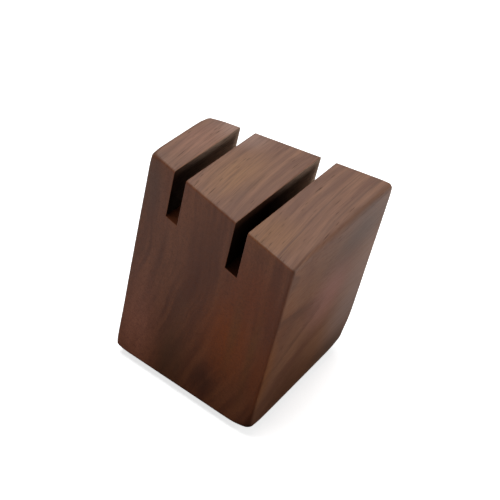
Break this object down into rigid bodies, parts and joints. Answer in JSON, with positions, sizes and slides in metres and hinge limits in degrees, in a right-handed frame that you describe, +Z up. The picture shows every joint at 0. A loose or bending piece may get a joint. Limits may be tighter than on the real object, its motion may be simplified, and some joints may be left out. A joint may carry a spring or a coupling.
{
  "type": "pick holder",
  "caption": "Small leaning wooden block, tapered in plan, with two open slots cut in its top that hold guitar picks upright, on low rubber feet.",
  "frame": {"origin": "centre of the bounding box in X and Y, on the surface that the feet stand on", "axes": "+Z up, +Y along the slots from the front to the back, +X across the slots towards the wide side face, the way the block leans"},
  "size_m": [0.0642, 0.0496, 0.0662],
  "materials": {
    "walnut": "sanded and oiled, satin, grain running along the slots",
    "foot_rubber": "matte"
  },
  "bodies": {
    "root": {"walnut_block": "walnut", "foot_front_narrow": "foot_rubber", "foot_back_narrow": "foot_rubber", "foot_front_wide": "foot_rubber", "foot_back_wide": "foot_rubber"}
  },
  "joints": []
}
